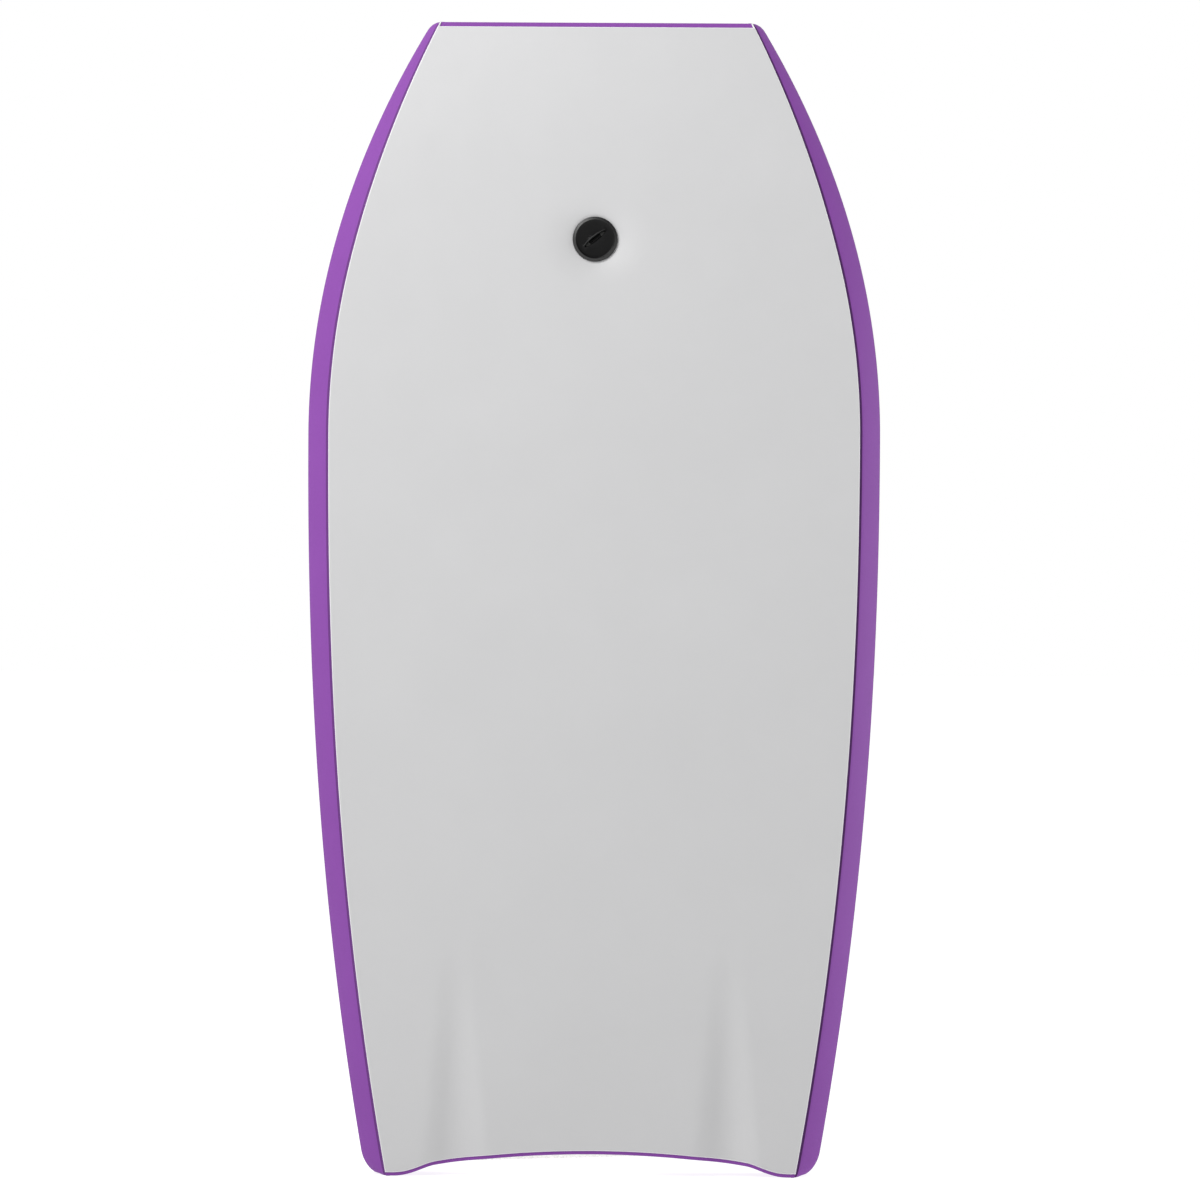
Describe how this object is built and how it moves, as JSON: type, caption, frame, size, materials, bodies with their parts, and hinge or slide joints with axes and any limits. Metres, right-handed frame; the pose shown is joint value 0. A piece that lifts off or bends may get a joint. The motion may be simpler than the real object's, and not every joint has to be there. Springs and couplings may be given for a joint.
{
  "type": "bodyboard",
  "caption": "Soft bodyboard with a flat slick, bevelled foam rails, crescent tail, two tail channels and a screw-in leash plug.",
  "frame": {"origin": "on the floor that the two tail tips stand on, under the middle of the overall box", "axes": "+Z from tail to nose along the board, -Y out of the slick (underside), +Y out of the deck, +X to the right when the slick is looked at with the nose up"},
  "size_m": [0.516, 0.072, 1.041],
  "materials": {
    "eps_foam": "white expanded bead foam",
    "slick_sheet": "satin light grey polyethylene sheet",
    "deck_foam": "fine-textured purple closed-cell foam",
    "rail_foam": "smooth purple closed-cell foam",
    "plug_plastic": "satin black moulded nylon",
    "gasket_rubber": "matt black rubber",
    "pin_steel": "stainless steel"
  },
  "bodies": {
    "board": {"foam_core": "eps_foam", "slick_skin": "slick_sheet", "deck_skin": "deck_foam", "lower_rail_left": "rail_foam", "lower_rail_right": "rail_foam", "upper_rail_left": "rail_foam", "upper_rail_right": "rail_foam", "nose_bumper": "rail_foam", "tail_bumper": "rail_foam", "leash_cup": "plug_plastic", "leash_pin": "pin_steel", "cup_gasket": "gasket_rubber"},
    "seal": {"screw_gasket": "gasket_rubber"},
    "screw": {"plug_screw": "plug_plastic"}
  },
  "joints": [
    {"name": "screw_travel", "type": "slide", "parent": "board", "child": "seal", "axis": [0, -1, 0], "range_m": [0, 0.0175]},
    {"name": "screw_turn", "type": "hinge", "parent": "seal", "child": "screw", "pos_m": [0, -0.0304, 0.8424], "axis": [0, -1, 0], "range_deg": [0, 2521]}
  ],
  "couplings": [
    {"joint": "screw_turn", "follows": "screw_travel", "rad_per_m": 2513.3}
  ]
}
